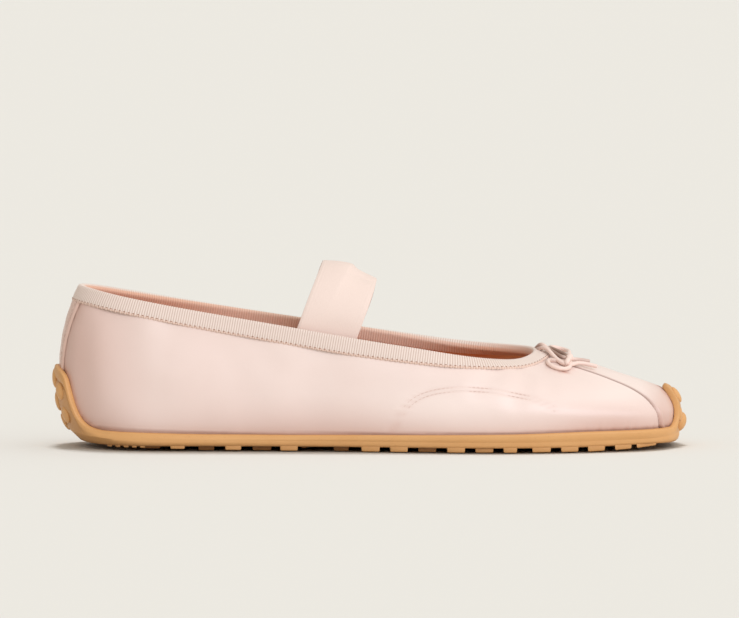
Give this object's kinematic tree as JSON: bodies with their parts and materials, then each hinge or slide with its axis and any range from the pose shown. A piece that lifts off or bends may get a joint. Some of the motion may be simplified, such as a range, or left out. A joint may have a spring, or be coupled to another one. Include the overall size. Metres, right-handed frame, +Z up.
{
  "type": "ballet flat",
  "caption": "Low round-toed ballet flat with a ribbon-bound collar, an elastic instep strap, a cord bow and a lugged gum sole.",
  "frame": {"origin": "middle of the foot's length and breadth, on the ground under the sole", "axes": "+X from heel to toe, +Z up, outer side of the foot towards -Y"},
  "size_m": [0.2503, 0.083, 0.0736],
  "materials": {
    "satin": "pale pink satin with a soft sheen",
    "gum_rubber": "matte caramel gum rubber",
    "lining_leather": "peach lining leather, matte",
    "ribbon": "ribbed grosgrain ribbon, blush pink",
    "elastic": "very pale pink elastic, fine ribs",
    "cord": "pale pink satin-covered cord"
  },
  "bodies": {
    "root": {"upper": "satin", "sole": "gum_rubber", "insole": "lining_leather", "binding": "ribbon", "strap": "elastic", "bow": "cord"}
  },
  "joints": []
}
